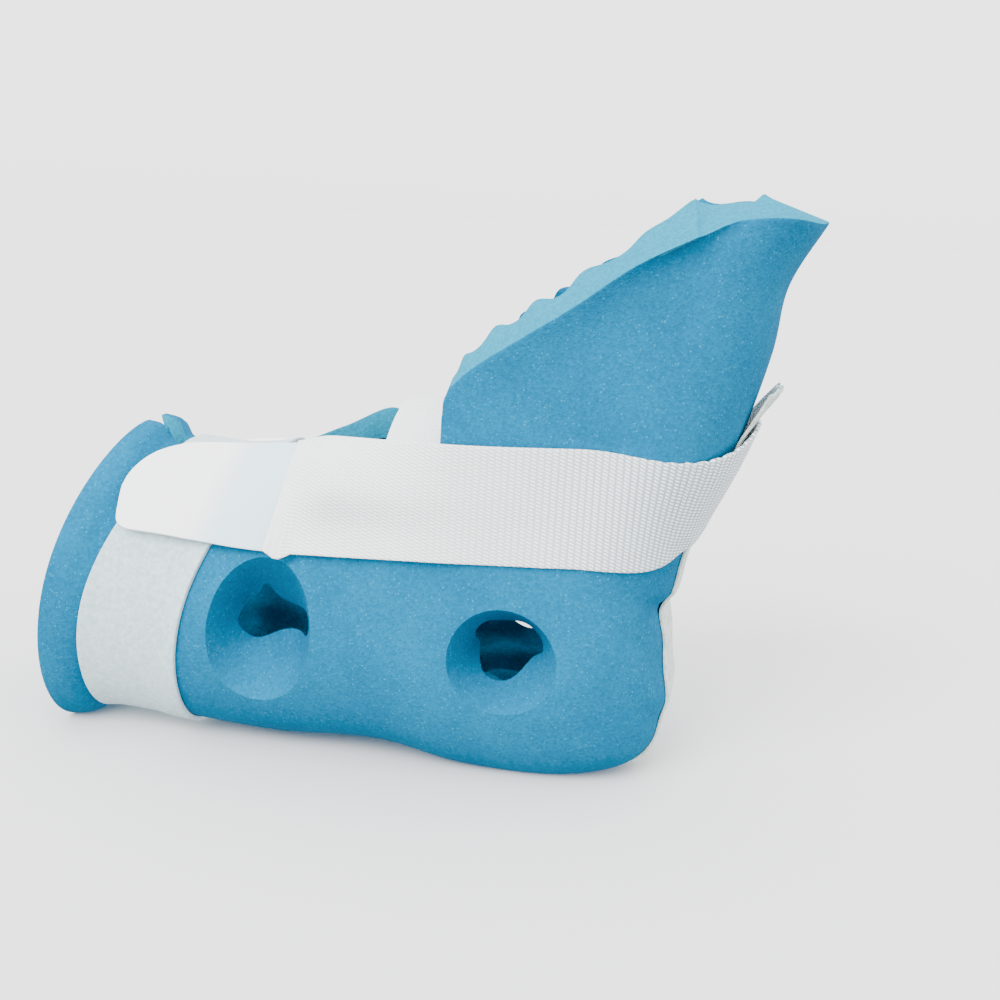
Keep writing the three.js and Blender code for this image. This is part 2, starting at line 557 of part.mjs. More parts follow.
// Heel strip: from under the heel up the back of it and up the sole, its free end above the sling.
// x and z of the point that each row looks out from, as shares of BOOT_LENGTH and BOOT_HEIGHT, and
// the row's lean in degrees, -90 being straight down.
const STRIP_LINE = [
  { x: 0.270, z: 0.150, lean: -64 },
  { x: 0.270, z: 0.150, lean: 0 },
  { x: 0.270, z: 0.300, lean: 0 },
  { x: 0.290, z: 0.440, lean: -18 },
  { x: 0.330, z: 0.660, lean: -21 },
  { x: 0.352, z: 0.800, lean: -21 },
];
const STRIP_STEPS = 6; // rows to each stretch of that line
const stripRows = [];
STRIP_LINE.slice(1).forEach((row, i) => {
  const from = STRIP_LINE[i];
  const part = (key, share) => THREE.MathUtils.lerp(from[key], row[key], share);
  for (let k = i ? 1 : 0; k <= STRIP_STEPS; k++) {
    const share = k / STRIP_STEPS;
    const l = radians(part('lean', share));
    stripRows.push({
      at: new THREE.Vector3(part('x', share) * BOOT_LENGTH, 0, part('z', share) * BOOT_HEIGHT),
      out: new THREE.Vector3(Math.cos(l), 0, Math.sin(l)),
      rise: Y_AXIS.clone().negate(),
      low: -STRIP_WIDTH / 2,
      high: STRIP_WIDTH / 2,
      lift: i === STRIP_LINE.length - 2 ? STRIP_END_LIFT * share : 0,
    });
  }
});
const heelStrip = strap(stripRows, STRIP_TAPE);

const sideXs = spread(SEAM_X * BOOT_LENGTH, slingTurnX, SLING_STEP).slice(0, -1);
const slingStrap = strap([
  ...sideXs.map((x) => slingRow(x, 0)),
  ...spread(0, 180, SLING_TURN_STEP).map(soleRow),
  ...sideXs.reverse().map((x) => slingRow(x, 180)),
], WEBBING, { onto: [tabs.near, tabs.far, instepStrap, heelStrip], taut: 60 });

const boot = new THREE.Group();
const foamMaterial = new THREE.MeshStandardMaterial({ color: 0x0fb0ea, roughness: 0.95, metalness: 0 });
const loopMaterial = new THREE.MeshStandardMaterial({ color: 0xd3dee1, roughness: 1, metalness: 0 });
const webbingMaterial = new THREE.MeshStandardMaterial({ color: 0xf2f4f3, roughness: 0.8, metalness: 0 });
const hookMaterial = new THREE.MeshStandardMaterial({ color: 0xf7faf9, roughness: 0.55, metalness: 0 });
function add(name, geometry, material) {
  const mesh = new THREE.Mesh(geometry, material);
  mesh.name = name;
  boot.add(mesh);
}
add('foam_boot', foam, foamMaterial);
add('calf_strap', calfStrap, loopMaterial);
add('sling_strap', slingStrap, webbingMaterial);
add('hook_tab_near', tabs.near, hookMaterial);
add('hook_tab_far', tabs.far, hookMaterial);
add('instep_strap', instepStrap, webbingMaterial);
add('heel_strip', heelStrip, webbingMaterial);

// The origin goes on the ground under the middle of the box.
const box = new THREE.Box3().setFromObject(boot);
const middle = box.getCenter(new THREE.Vector3());
boot.children.forEach((mesh) => mesh.geometry.translate(-middle.x, -middle.y, -box.min.z));

export default boot;
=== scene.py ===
import math

import bmesh
import bpy
import numpy as np
from mathutils import Matrix, Vector
from mathutils.bvhtree import BVHTree


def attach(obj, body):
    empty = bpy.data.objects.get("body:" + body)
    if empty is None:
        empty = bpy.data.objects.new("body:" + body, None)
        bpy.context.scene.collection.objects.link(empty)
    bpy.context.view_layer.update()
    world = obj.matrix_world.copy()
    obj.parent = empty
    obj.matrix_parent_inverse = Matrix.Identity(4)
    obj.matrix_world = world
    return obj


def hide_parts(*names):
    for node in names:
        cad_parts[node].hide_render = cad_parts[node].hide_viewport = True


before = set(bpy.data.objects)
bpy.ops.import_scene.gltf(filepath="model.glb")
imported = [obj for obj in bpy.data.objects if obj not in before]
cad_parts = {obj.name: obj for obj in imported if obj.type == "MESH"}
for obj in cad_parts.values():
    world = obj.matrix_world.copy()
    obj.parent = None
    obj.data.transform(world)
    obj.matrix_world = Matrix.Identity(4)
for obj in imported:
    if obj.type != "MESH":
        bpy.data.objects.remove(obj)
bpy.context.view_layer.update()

# Camera: a little above the boot, seen from its near side, and rolled with the boot, which lies
# 3.5 degrees nearer to level here than it was held. Place and lens fit the photograph's outline.
VIEW_TARGET = Vector((0.0340, 0.0, 0.1145))
VIEW_DISTANCE = 0.6535
VIEW_AZIMUTH = math.radians(10.0)
VIEW_ELEVATION = math.radians(12.0)
VIEW_ROLL = math.radians(3.548)
VIEW_LENS = 51.98

camera_data = bpy.data.cameras.new("camera")
camera_data.lens = VIEW_LENS
camera_data.sensor_width = 36.0
camera = bpy.data.objects.new("camera", camera_data)
bpy.context.scene.collection.objects.link(camera)
towards_camera = Vector((
    math.sin(VIEW_AZIMUTH) * math.cos(VIEW_ELEVATION),
    -math.cos(VIEW_AZIMUTH) * math.cos(VIEW_ELEVATION),
    math.sin(VIEW_ELEVATION),
))
aim = (-towards_camera).to_track_quat("-Z", "Y").to_matrix().to_4x4()
roll = Matrix.Rotation(-VIEW_ROLL, 4, "Y")
camera.matrix_world = Matrix.Translation(VIEW_TARGET) @ roll @ Matrix.Translation(
    towards_camera * VIEW_DISTANCE) @ aim
bpy.context.scene.camera = camera

# Foam boot: one sheet of convoluted polyurethane foam, smooth outside and peaked inside, cut with a
# hot wire, punched with two vents a side and glued into a boot. Each row of BOOT_SECTIONS is a
# cross-section from the calf end round the heel to the toe tip.
BOOT_LENGTH = 0.330
BOOT_HEIGHT = 0.247
BOOT_HALF_WIDTH = 0.062
FOAM_PEAK = 0.030
FOAM_VALLEY = 0.017
PEAK_PITCH = 0.029
CENTRING = Vector((0.000978, -0.000443, 0.0))  # from the sections' zero to the middle of the box
# Sole x, z and cut edge x, z as shares of length and height. Half width, half width at the edge and
# flat of the sole as shares of BOOT_HALF_WIDTH. Height of the widest place, how far the edge wraps in,
# how far the sides stand back, and how far the cut edge leans as a share of FOAM_PEAK.
BOOT_SECTIONS = np.array([
    [-0.467, -0.003, -0.400, 0.560, 1.00, 0.12, 0.42, 0.46, 1.0, 0.24, 0.0],
    [-0.440, 0.004, -0.376, 0.552, 0.99, 0.11, 0.40, 0.46, 1.0, 0.18, 0.0],
    [-0.420, 0.030, -0.352, 0.518, 0.94, 0.10, 0.36, 0.46, 1.0, 0.13, 0.0],
    [-0.345, 0.028, -0.255, 0.508, 0.94, 0.10, 0.36, 0.46, 1.0, 0.06, 0.0],
    [-0.315, 0.023, -0.215, 0.516, 0.98, 0.14, 0.38, 0.46, 1.0, 0.03, 0.0],
    [-0.180, 0.012, -0.145, 0.556, 1.00, 0.42, 0.38, 0.46, 0.9, 0.00, 0.0],
    [-0.080, 0.019, -0.080, 0.587, 1.00, 0.74, 0.38, 0.47, 0.7, 0.00, 0.0],
    [-0.010, 0.018, -0.055, 0.478, 0.99, 0.92, 0.38, 0.50, 0.4, 0.00, 0.0],
    [0.090, -0.003, 0.034, 0.470, 0.98, 0.93, 0.42, 0.50, 0.2, 0.00, 0.0],
    [0.220, -0.003, 0.047, 0.550, 0.97, 0.94, 0.42, 0.50, 0.1, 0.00, 0.0],
    [0.315, 0.030, 0.049, 0.610, 0.95, 0.95, 0.30, 0.48, 0.0, 0.00, 0.0],
    [0.352, 0.125, 0.050, 0.650, 0.94, 0.96, 0.24, 0.44, 0.0, 0.00, 0.0],
    [0.345, 0.245, 0.054, 0.685, 0.92, 0.97, 0.16, 0.38, 0.0, 0.00, 0.1],
    [0.362, 0.430, 0.080, 0.728, 0.91, 0.98, 0.12, 0.34, 0.0, 0.00, 0.3],
    [0.408, 0.585, 0.132, 0.779, 0.90, 1.01, 0.10, 0.34, 0.0, 0.00, 0.4],
    [0.445, 0.770, 0.205, 0.846, 0.89, 1.04, 0.10, 0.42, 0.0, 0.00, 0.4],
    [0.458, 0.890, 0.275, 0.917, 0.89, 1.05, 0.10, 0.52, 0.0, 0.00, 0.4],
    [0.500, 1.000, 0.345, 0.968, 0.88, 1.05, 0.10, 0.66, 0.0, 0.00, 0.40],
])
CORNER_LEAST = 0.006  # least rounding of the sole's corners
EDGE_LEAN_POWER = 8  # how close to the cut edge its lean keeps
GUIDE_SHARE = 0.4  # where the length along the boot is measured: 0 on the sole, 1 on the cut edge
WAY_SPAN = 0.07  # share of the sections either side over which the way along the sole is taken
# Height as a share of BOOT_HEIGHT, depth and tallness as shares of FOAM_PEAK
HEEL_DENTS = [(0.295, 0.30, 0.24), (0.110, 0.09, 0.20)]
HEEL_DENT_SPREAD = 0.6  # how far they reach to the sides, share of BOOT_HALF_WIDTH
TOE_SOLE_LEAN = -0.12  # how far the toe's cut end leans onwards, share of FOAM_PEAK: at the sole
TOE_LEAN = 0.06  # up the sides
TOE_LEAN_RISE = (0.2, 0.6)  # from where to where across the sheet it changes
TOE_SIDE_LEAN = 0.10  # added high up the sides
TOE_SIDE_RISE = (0.5, 0.8)
TOE_LEAN_START = 0.95  # where along the boot the toe's lean starts
TOE_BULGE = 0.006  # how far the toe's cut ends rise beyond the sections, half way up each side
TOE_BULGE_RISE = (0.25, 0.75)
TOE_BULGE_FALL = (0.8, 1)
TOE_BULGE_START = 0.9
END_FULLNESS = 0.95  # the sheet's thickness along its two cut ends: 0 as in a valley, 1 as on a peak
PEAK_PHASE = 1 / 3  # where the first peak stands in its own square of the pattern
FOAM_STEPS_PER_PEAK = 12
RIM_ROUNDING = 0.0008
VENT_RADIUS = 0.0235
VENT_SIDES = 72
VENT_LIE = (0.004, 0.02)  # shares along and across over which the skin's lie at a vent is taken
VENTS = [  # along, across, stretch across, width left in the lining along and across
    (0.205, 0.510, 1.70, 0.56, 0.15),
    (0.474, 0.550, 1.05, 0.52, 0.36),
]
PUNCH_REACH = (0.5, -1.1)  # how far each punch reaches outwards and inwards, share of FOAM_PEAK
FOAM_BLUE = "006F96"
FOAM_LIT_BLUE = "2F9ABE"
FOAM_DEEP_BLUE = "006289"
# Painted sheen on the cut faces: paler and greyer than the skin.
FOAM_CUT_SHEEN_BLUE = "1483A0"
FOAM_CELL = 0.0011  # open cells, drawn about twice their real size so that they show
FOAM_BLOTCH = 1 / 24  # 42 mm, the size of its paler and deeper places
CUT_REACH = 0.0015  # how near to the cut edge a face counts as hot-wired and gets the painted sheen
CUT_FACING = 0.6


def smoothstep(x, low, high):
    share = np.clip((np.asarray(x, float) - low) / (high - low), 0, 1)
    return share * share * (3 - 2 * share)


def along_rows(rows, t):
    """Catmull-Rom curve through table rows, at t from 0 to 1."""
    last = len(rows) - 1
    i = min(int(t * last), last - 1)
    w = t * last - i
    before = rows[i - 1] if i else 2 * rows[0] - rows[1]
    after = rows[i + 2] if i + 2 <= last else 2 * rows[last] - rows[last - 1]
    a, b = rows[i], rows[i + 1]
    go_in, go_out = (b - before) / 2, (after - a) / 2
    bend = (2 * a - 2 * b + go_in + go_out) * w + (3 * b - 3 * a - 2 * go_in - go_out)
    return bend * w * w + go_in * w + a


def sole_point(t):
    row = along_rows(BOOT_SECTIONS, t)
    return np.array([row[0] * BOOT_LENGTH, 0, row[1] * BOOT_HEIGHT])


def edge_point(t):
    row = along_rows(BOOT_SECTIONS, t)
    return np.array([row[2] * BOOT_LENGTH, 0, row[3] * BOOT_HEIGHT])


guide_ts = np.linspace(0, 1, 601)
guide_points = np.array(
    [(1 - GUIDE_SHARE) * sole_point(t) + GUIDE_SHARE * edge_point(t) for t in guide_ts])
guide_reach = np.concatenate([[0], np.cumsum(np.linalg.norm(np.diff(guide_points, axis=0), axis=1))])


def half_section(t):
    """Outside and peak line of half a section, as (aside, height), and the reach along the outside."""
    row = along_rows(BOOT_SECTIONS, t)
    half, edge, flat = row[4:7] * BOOT_HALF_WIDTH
    belly, wrap = row[7], row[8]
    height = np.linalg.norm(edge_point(t) - sole_point(t))
    quarter = np.linspace(0, math.pi / 2, 41)

    def outline(inset):
        wide = half - inset
        level = flat * wide / half
        waist = max(belly * height, inset + CORNER_LEAST)
        top = height - inset * wrap
        end = (1 - wrap) * (edge - inset) + wrap * edge
        low = np.stack([
            level + (wide - level) * np.sin(quarter),
            waist - (waist - inset) * np.cos(quarter),
        ], 1)
        closed = end + (wide - end) * np.cos(quarter)
        groove_shade_share = wide + (end - wide) * np.sin(quarter) ** 2
        high = np.stack([
            groove_shade_share + (closed - groove_shade_share) * wrap,
            waist + (top - waist) * np.sin(quarter),
        ], 1)
        return np.concatenate([[[0, inset]], low, high[1:]])

    outer = outline(0)
    reach = np.concatenate([[0], np.cumsum(np.linalg.norm(np.diff(outer, axis=0), axis=1))])
    return outer, outline(FOAM_PEAK), reach


def foam_row(u, vs):
    """Skin points and ways through the sheet at u along the boot and at each v across it."""
    t = float(np.interp(min(max(u, 0), 1) * guide_reach[-1], guide_reach, guide_ts))
    row = along_rows(BOOT_SECTIONS, t)
    outer, inner, reach = half_section(t)
    wanted = np.abs(vs) * reach[-1]
    out_y, out_h = np.interp(wanted, reach, outer[:, 0]), np.interp(wanted, reach, outer[:, 1])
    in_y, in_h = np.interp(wanted, reach, inner[:, 0]), np.interp(wanted, reach, inner[:, 1])
    sole = sole_point(t)
    up = edge_point(t) - sole
    up /= np.linalg.norm(up)
    fade = np.exp(-(out_y / (HEEL_DENT_SPREAD * BOOT_HALF_WIDTH)) ** 2)
    dent = 0
    for at, deep, tall in HEEL_DENTS:
        above = (sole[2] - at * BOOT_HEIGHT) / (tall * FOAM_PEAK)
        dent = dent + deep * FOAM_PEAK * math.exp(-above ** 2) * fade
    skin = sole + np.outer(out_h + dent, up)
    skin[:, 0] -= row[9] * BOOT_HALF_WIDTH * (out_y / (row[4] * BOOT_HALF_WIDTH)) ** 2
    skin[:, 1] = np.sign(vs) * out_y
    skin[:, 2] = np.maximum(skin[:, 2], 0)
    along = sole_point(min(t + WAY_SPAN, 1)) - sole_point(max(t - WAY_SPAN, 0))
    along /= np.linalg.norm(along)
    bulge = smoothstep(np.abs(vs), *TOE_BULGE_RISE) * (1 - smoothstep(np.abs(vs), *TOE_BULGE_FALL))
    skin += np.outer(smoothstep(u, TOE_BULGE_START, 1) * TOE_BULGE * bulge, along)
    edge_way = edge_point(min(t + 1e-4, 1)) - edge_point(max(t - 1e-4, 0))
    edge_way /= np.linalg.norm(edge_way)
    through = np.outer(in_h - out_h, [-along[2], 0, along[0]])
    toe = TOE_SOLE_LEAN + (TOE_LEAN - TOE_SOLE_LEAN) * smoothstep(np.abs(vs), *TOE_LEAN_RISE)
    toe += TOE_SIDE_LEAN * smoothstep(np.abs(vs), *TOE_SIDE_RISE)
    through += np.outer(smoothstep(u, TOE_LEAN_START, 1) * toe * FOAM_PEAK, along)
    through += np.outer(
        row[10] * FOAM_PEAK * np.abs(vs) ** EDGE_LEAN_POWER, [-edge_way[2], 0, edge_way[0]])
    through[:, 1] = np.sign(vs) * (in_y - out_y)
    return skin, through


def bent_grid(points):
    """A bmesh grid whose corners are moved to points, an array of rows of places."""
    rows, columns = points.shape[:2]
    mesh = bmesh.new()
    bmesh.ops.create_grid(mesh, x_segments=rows - 1, y_segments=columns - 1, size=0.5)
    row_layer = mesh.verts.layers.int.new("row")
    column_layer = mesh.verts.layers.int.new("column")
    for vert in mesh.verts:
        i, j = round((vert.co.x + 0.5) * (rows - 1)), round((vert.co.y + 0.5) * (columns - 1))
        vert[row_layer], vert[column_layer] = i, j
        vert.co = points[i, j]
    return mesh


def finished(name, mesh, modifiers=(), sharp=180):
    """An object from a bmesh, with its modifiers, (kind, settings) each, applied.

    It is shaded smooth, but for edges that turn by more than sharp degrees.
    """
    data = bpy.data.meshes.new(name)
    mesh.to_mesh(data)
    mesh.free()
    piece = bpy.data.objects.new(name, data)
    bpy.context.scene.collection.objects.link(piece)
    for kind, settings in modifiers:
        modifier = piece.modifiers.new(kind.lower(), kind)
        for key, value in settings.items():
            setattr(modifier, key, value)
    bpy.context.view_layer.update()
    final = bpy.data.meshes.new_from_object(piece.evaluated_get(bpy.context.evaluated_depsgraph_get()))
    piece.modifiers.clear()
    piece.data = final
    final.name = name
    final.shade_smooth()
    if sharp < 180:
        final.set_sharp_from_angle(angle=math.radians(sharp))
    return piece


peaks_along = round(guide_reach[-1] / PEAK_PITCH)
peaks_across = 2 * round(half_section(0.5)[2][-1] / PEAK_PITCH) - 1
us = np.linspace(0, 1, peaks_along * FOAM_STEPS_PER_PEAK + 1)
vs = np.linspace(-1, 1, peaks_across * FOAM_STEPS_PER_PEAK + 1)
wave_along = np.cos(2 * math.pi * (us * peaks_along - PEAK_PHASE))
wave_across = np.cos(2 * math.pi * ((vs + 1) / 2 * peaks_across - PEAK_PHASE))
swell = smoothstep((wave_along[:, None] + wave_across[None, :] + 2) / 4, 0, 1)
from_end = np.minimum(np.arange(len(us)), np.arange(len(us))[::-1])
inside = smoothstep(from_end, 0, FOAM_STEPS_PER_PEAK)[:, None]
swell = END_FULLNESS * (1 - inside) + swell * inside
depth_share = (FOAM_VALLEY + (FOAM_PEAK - FOAM_VALLEY) * swell) / FOAM_PEAK
laid = [foam_row(u, vs) for u in us]
skin_points = np.array([skin for skin, through in laid])
lining_points = skin_points + np.array([through for skin, through in laid]) * depth_share[:, :, None]

foam_mesh = bent_grid(skin_points + np.array(CENTRING))
foam_rows = foam_mesh.verts.layers.int["row"]
foam_columns = foam_mesh.verts.layers.int["column"]
foam_lining = foam_mesh.verts.layers.int.new("lining")
pulled = bmesh.ops.extrude_face_region(foam_mesh, geom=foam_mesh.faces[:], use_keep_orig=True)
for vert in (g for g in pulled["geom"] if isinstance(g, bmesh.types.BMVert)):
    vert.co = Vector(lining_points[vert[foam_rows], vert[foam_columns]]) + CENTRING
    vert[foam_lining] = 1
bmesh.ops.recalc_face_normals(foam_mesh, faces=foam_mesh.faces[:])
foam_mesh.verts.index_update()
cut_faces = {f for f in foam_mesh.faces if len({v[foam_lining] for v in f.verts}) == 2}
cut_edge = BVHTree.FromPolygons(
    [v.co.copy() for v in foam_mesh.verts], [[v.index for v in f.verts] for f in cut_faces])
rims = [e for e in foam_mesh.edges if len(cut_faces.intersection(e.link_faces)) == 1]
bmesh.ops.bevel(
    foam_mesh, geom=rims, offset=RIM_ROUNDING, offset_type="OFFSET", segments=2, profile=0.5,
    affect="EDGES", material=-1)

punch_mesh = bmesh.new()
for along, across, stretch, throat_along, throat_across in VENTS:
    for side in (-1, 1):
        beside = side * np.array([across - VENT_LIE[1], across, across + VENT_LIE[1]])
        nearby = foam_row(along, beside)[0]
        further = foam_row(along + VENT_LIE[0], side * np.array([across]))[0][0]
        girth = Vector(nearby[2] - nearby[0]).normalized()
        outwards = Vector(further - nearby[1]).cross(girth).normalized()
        if outwards.y * side < 0:
            outwards.negate()
        cone = bmesh.ops.create_cone(
            punch_mesh, cap_ends=True, segments=VENT_SIDES, radius1=1, radius2=1, depth=1)
        for vert in cone["verts"]:
            level = PUNCH_REACH[0] if vert.co.z > 0 else PUNCH_REACH[1]
            vert.co = Vector((
                vert.co.x * VENT_RADIUS * (1 + (1 - throat_along) * level),
                vert.co.y * VENT_RADIUS * stretch * (1 + (1 - throat_across) * level),
                level * FOAM_PEAK))
        turn = Matrix((girth.cross(outwards), girth, outwards)).transposed().to_4x4()
        place = Matrix.Translation(Vector(nearby[1]) + CENTRING) @ turn
        bmesh.ops.transform(punch_mesh, matrix=place, verts=cone["verts"])
bmesh.ops.recalc_face_normals(punch_mesh, faces=punch_mesh.faces[:])
punch = finished("vent_punch", punch_mesh)

foam_boot = finished("foam_boot_soft", foam_mesh, [
    ("BOOLEAN", {"operation": "DIFFERENCE", "solver": "EXACT", "object": punch}),
], sharp=40)
bpy.data.objects.remove(punch)
# Marks the cut faces, which get the painted sheen.
cut_marks = foam_boot.data.attributes.new("cut", "FLOAT", "FACE")
for face, mark in zip(foam_boot.data.polygons, cut_marks.data):
    spot, facing, _, _ = cut_edge.find_nearest(face.center, CUT_REACH)
    if spot is not None:
        mark.value = float(abs(facing.dot(face.normal)) > CUT_FACING)


def linear(code):
    """An sRGB hex colour as linear RGBA."""
    levels = [int(code[i:i + 2], 16) / 255 for i in (0, 2, 4)]
    return (*[c / 12.92 if c <= 0.04045 else ((c + 0.055) / 1.055) ** 2.4 for c in levels], 1.0)


def add_node(material, kind, settings=None, **links):
    """Adds a node to a material.

    Settings are its properties, and its sockets by name or number. Links name sockets, or give their
    numbers as in _0, and the outputs that feed them.
    """
    node = material.node_tree.nodes.new(kind)
    for key, value in (settings or {}).items():
        if isinstance(key, str) and hasattr(node, key):
            setattr(node, key, value)
        else:
            node.inputs[key].default_value = value
    for key, output in links.items():
        place = int(key[1:]) if key[1:].isdigit() else key.replace("_", " ")
        material.node_tree.links.new(output, node.inputs[place])
    return node


def new_material(name):
    material = bpy.data.materials.new(name)
    material.use_nodes = True
    material.node_tree.nodes.clear()
    return material


def ramp(material, factor, stops):
    """A colour ramp on factor with (place, hex colour) stops."""
    node = add_node(material, "ShaderNodeValToRGB", Fac=factor)
    while len(node.color_ramp.elements) < len(stops):
        node.color_ramp.elements.new(0.5)
    for element, (place, code) in zip(node.color_ramp.elements, stops):
        element.position = place
        element.color = linear(code)
    return node.outputs["Color"]


# Open-cell polyurethane foam: dull, with a fine grain of cut cells, a few of which catch the light as
# pale specks. The hot-wired cut faces get a painted sheen, paler and greyer than the skin.
polyurethane = new_material("polyurethane_foam")
foam_place = add_node(polyurethane, "ShaderNodeTexCoord").outputs["Object"]
cells = add_node(polyurethane, "ShaderNodeTexVoronoi", {
    "Scale": 1 / FOAM_CELL,
    "Randomness": 1.0,
}, Vector=foam_place)
blotches = add_node(polyurethane, "ShaderNodeTexNoise", {
    "Scale": 1 / FOAM_BLOTCH,
    "Detail": 3.0,
    "Roughness": 0.6,
}, Vector=foam_place)
tone = ramp(polyurethane, blotches.outputs["Fac"], [(0.3, FOAM_DEEP_BLUE), (0.72, FOAM_BLUE)])
# The cut faces are painted paler and greyer, a painted sheen along the foam's cut edges.
edge_mark = add_node(polyurethane, "ShaderNodeAttribute", {"attribute_name": "cut"})
edged = add_node(polyurethane, "ShaderNodeMix", {"data_type": "RGBA", 7: linear(FOAM_CUT_SHEEN_BLUE)},
                 _0=edge_mark.outputs["Fac"], _6=tone)
chosen = add_node(polyurethane, "ShaderNodeSeparateColor", Color=cells.outputs["Color"])
rare = add_node(polyurethane, "ShaderNodeMath", {"operation": "GREATER_THAN", 1: 0.88},
                _0=chosen.outputs["Red"])
core = add_node(polyurethane, "ShaderNodeMath", {"operation": "LESS_THAN", 1: 0.32},
                _0=cells.outputs["Distance"])
speck = add_node(polyurethane, "ShaderNodeMath", {"operation": "MULTIPLY"},
                 _0=rare.outputs[0], _1=core.outputs[0])
speck_share = add_node(polyurethane, "ShaderNodeMath", {"operation": "MULTIPLY", 1: 0.5},
                       _0=speck.outputs[0])
speckled = add_node(polyurethane, "ShaderNodeMix", {"data_type": "RGBA", 7: linear(FOAM_LIT_BLUE)},
                    _0=speck_share.outputs[0], _6=edged.outputs[2])
grained = add_node(polyurethane, "ShaderNodeMapRange", {"To Min": 0.86, "To Max": 1.12},
                   Value=chosen.outputs["Green"])
toned = add_node(polyurethane, "ShaderNodeMix", {"data_type": "RGBA", "blend_type": "MULTIPLY", 0: 1.0},
                 _6=speckled.outputs[2], _7=grained.outputs["Result"])
grain = add_node(polyurethane, "ShaderNodeBump", {"Strength": 0.4, "Distance": 0.0004},
                 Height=cells.outputs["Distance"])
foam_shader = add_node(polyurethane, "ShaderNodeBsdfPrincipled", {
    "Roughness": 0.95,
    "Specular IOR Level": 0.08,
}, Normal=grain.outputs["Normal"], Base_Color=toned.outputs[2])
add_node(polyurethane, "ShaderNodeOutputMaterial", Surface=foam_shader.outputs["BSDF"])
foam_boot.data.materials.clear()
foam_boot.data.materials.append(polyurethane)
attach(foam_boot, "root")
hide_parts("foam_boot")

# Calf strap: a band of brushed nylon loop tape, pulled tight round the calf end and lapped on top.
# It bites a little into the foam, whose end flares past it.
CALF_STRAP_WIDTH = 0.046
CALF_STRAP_LAP = 0.028
LOOP_TAPE = 0.0022
LOOP_GREY = "CBDEE4"
LOOP_SHADE = "A9C3CC"
LOOP_NAP = 1 / 420  # 2.4 mm, from one mottle of the nap to the next
LOOP_PILE = 1 / 1500  # 0.7 mm, from one tuft to the next
CALF_CENTRE = Vector((-0.309 * BOOT_LENGTH, 0, 0.260 * BOOT_HEIGHT))
CALF_STRAP_CUP = 0.24  # how far its sides stand back, share of BOOT_HALF_WIDTH
CALF_STRAP_LEAN = 0.22  # how much its top faces the toes
CALF_STRAP_START = 92  # degrees, where it starts and laps
CALF_STRAP_STEP = 1.75  # degrees between rows
STRAP_GRAIN = 0.0018  # from one row of a strap's mesh to the next
STRAP_TOUCH = 0.0003  # between a strap and what it lies on
STRAP_ROUNDING = 0.0004
RAY_START = 0.3  # how far outside a strap the rays start that find what it lies on
RAY_MARGIN = 0.03  # share of its width by which those at its solid keep off the solid's edges
SETTLING_ROUNDS = 8
SETTLING_BITE = 0.0001  # how far a strap may press into what it lies on


def calf_row(degrees):
    a = math.radians(degrees)
    at = CALF_CENTRE - Vector((CALF_STRAP_CUP * BOOT_HALF_WIDTH * math.cos(a) ** 2, 0, 0))
    out = Vector((CALF_STRAP_LEAN * math.sin(a), -math.cos(a), math.sin(a))).normalized()
    return at, out, Vector((1, 0, 0)), -CALF_STRAP_WIDTH / 2, CALF_STRAP_WIDTH / 2


def spread(first, last, step):
    return np.linspace(first, last, math.ceil(abs(last - first) / step) + 1)


def blurred(depths, rounds):
    """Depths eased towards their neighbours, rows first, with the ends kept."""
    for _ in range(rounds):
        wider = np.pad(depths, 1, mode="edge")
        wider[0] = 2 * wider[1] - wider[2]
        wider[-1] = 2 * wider[-2] - wider[-3]
        wider[:, 0] = 2 * wider[:, 1] - wider[:, 2]
        wider[:, -1] = 2 * wider[:, -2] - wider[:, -3]
        around = wider[:-2, 1:-1] + wider[2:, 1:-1] + wider[1:-1, :-2] + wider[1:-1, 2:]
        depths = 0.5 * depths + 0.125 * around
    return depths


